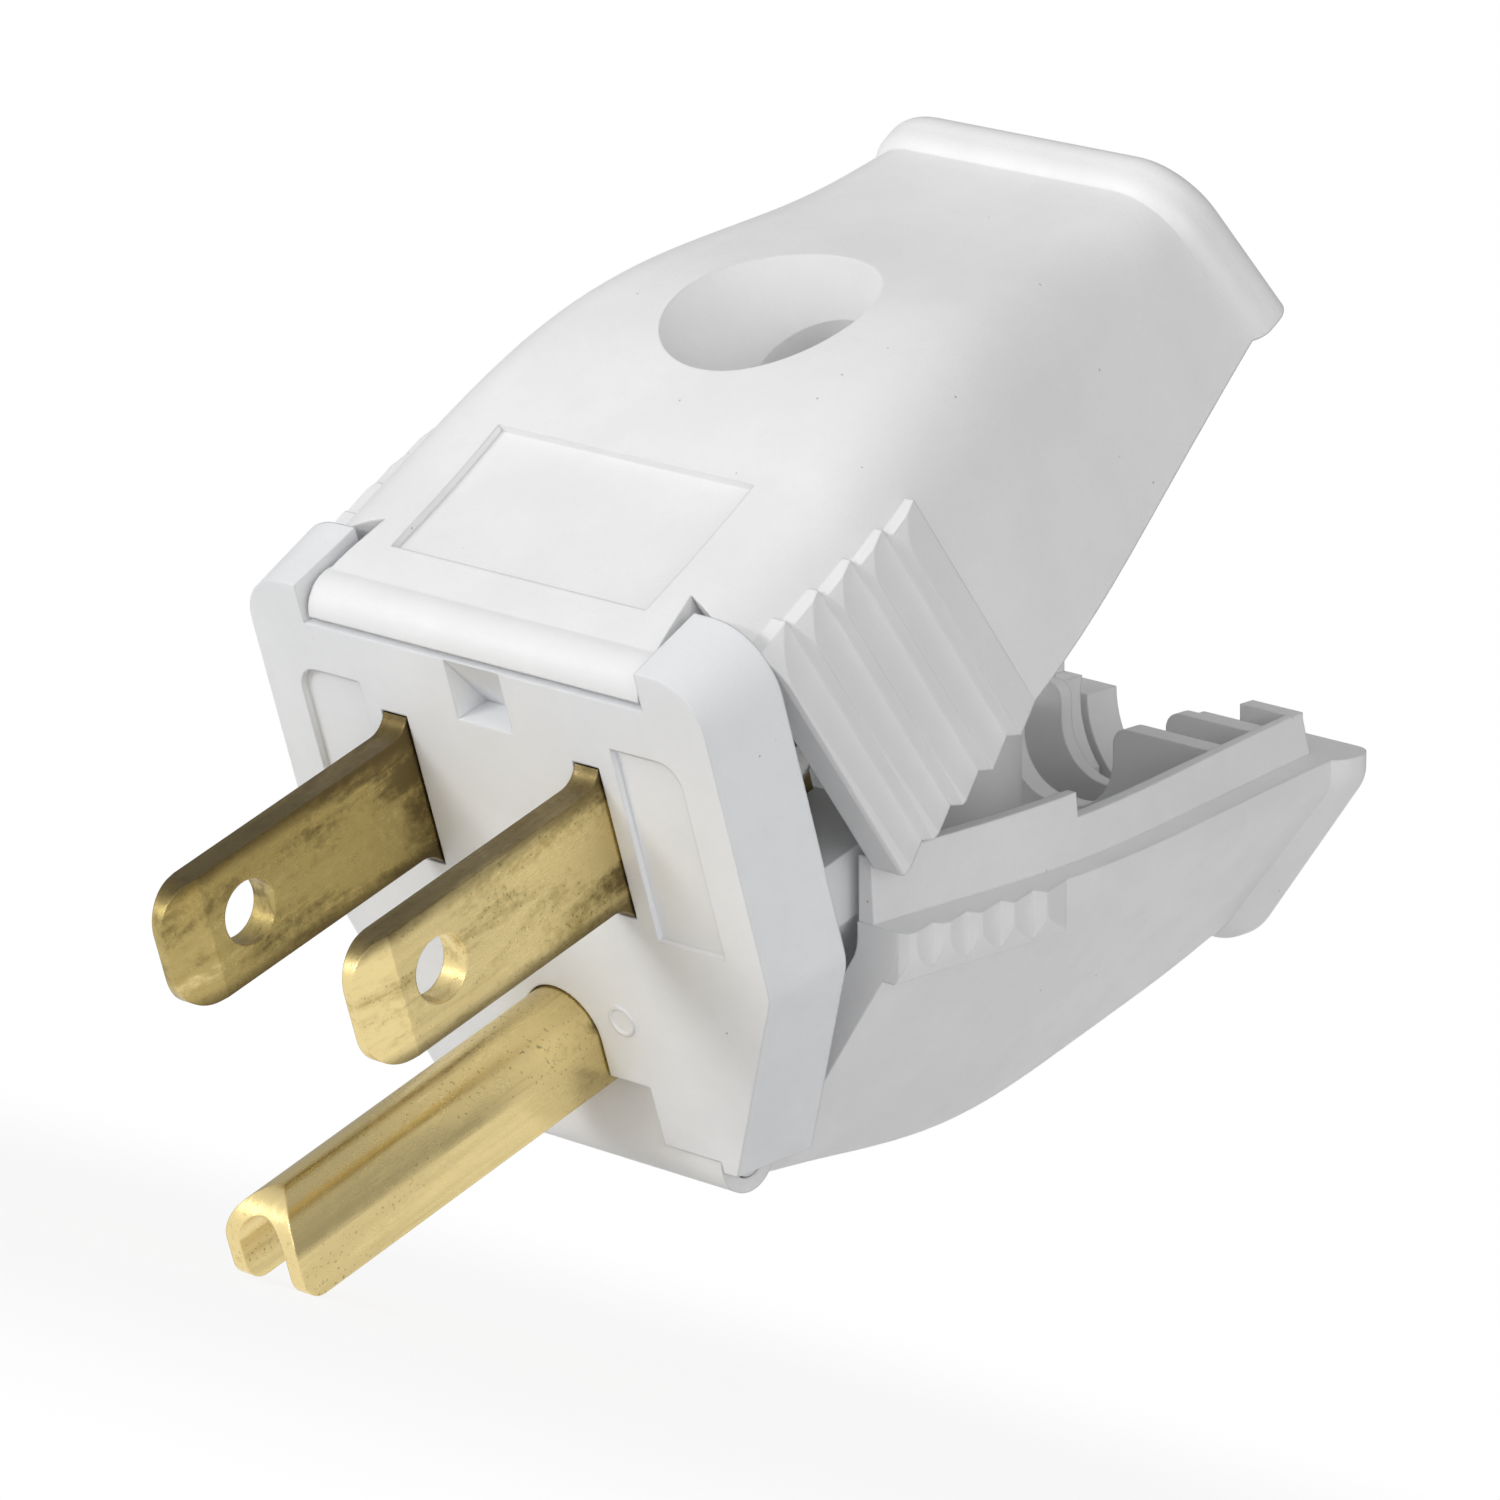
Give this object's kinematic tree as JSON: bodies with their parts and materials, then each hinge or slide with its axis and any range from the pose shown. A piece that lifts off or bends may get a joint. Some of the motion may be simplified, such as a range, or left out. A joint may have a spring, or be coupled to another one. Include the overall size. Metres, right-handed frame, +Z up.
{
  "type": "three-prong power plug",
  "caption": "Rewireable grounding power plug with hinged clamshell covers swung open, brass blades, folded ground pin and captive closing screw.",
  "frame": {"origin": "on the mating face, midway between the two flat blades", "axes": "+X across the face from the hot blade to the neutral blade, +Y back from the mating face towards the cord end, +Z up, away from the ground pin"},
  "size_m": [0.0324, 0.0654, 0.0439],
  "materials": {
    "cover_plastic": "satin",
    "insert_plastic": "satin",
    "bright_brass": "satin",
    "aged_brass": "tarnished",
    "plated_steel": "satin"
  },
  "bodies": {
    "insert": {"face_insert": "insert_plastic", "hot_blade": "aged_brass", "neutral_blade": "bright_brass", "ground_pin": "bright_brass", "hot_terminal_screw": "bright_brass", "neutral_terminal_screw": "plated_steel", "ground_terminal_screw": "plated_steel"},
    "upper_cover": {"upper_cover": "cover_plastic"},
    "closing_screw": {"closing_screw": "plated_steel"},
    "lower_cover": {"lower_cover": "cover_plastic", "threaded_insert": "bright_brass"}
  },
  "joints": [
    {"name": "upper_hinge", "type": "hinge", "parent": "insert", "child": "upper_cover", "pos_m": [0, 0.0019, 0.0081], "axis": [1, 0, 0], "range_deg": [-16.5, 4]},
    {"name": "lower_hinge", "type": "hinge", "parent": "insert", "child": "lower_cover", "pos_m": [0, 0.0019, -0.0179], "axis": [-1, 0, 0], "range_deg": [-17, 8]},
    {"name": "closing_screw_turn", "type": "hinge", "parent": "upper_cover", "child": "closing_screw", "pos_m": [0, 0.02578, 0.00777], "axis": [0, -0.284, 0.9588], "continuous": true}
  ]
}
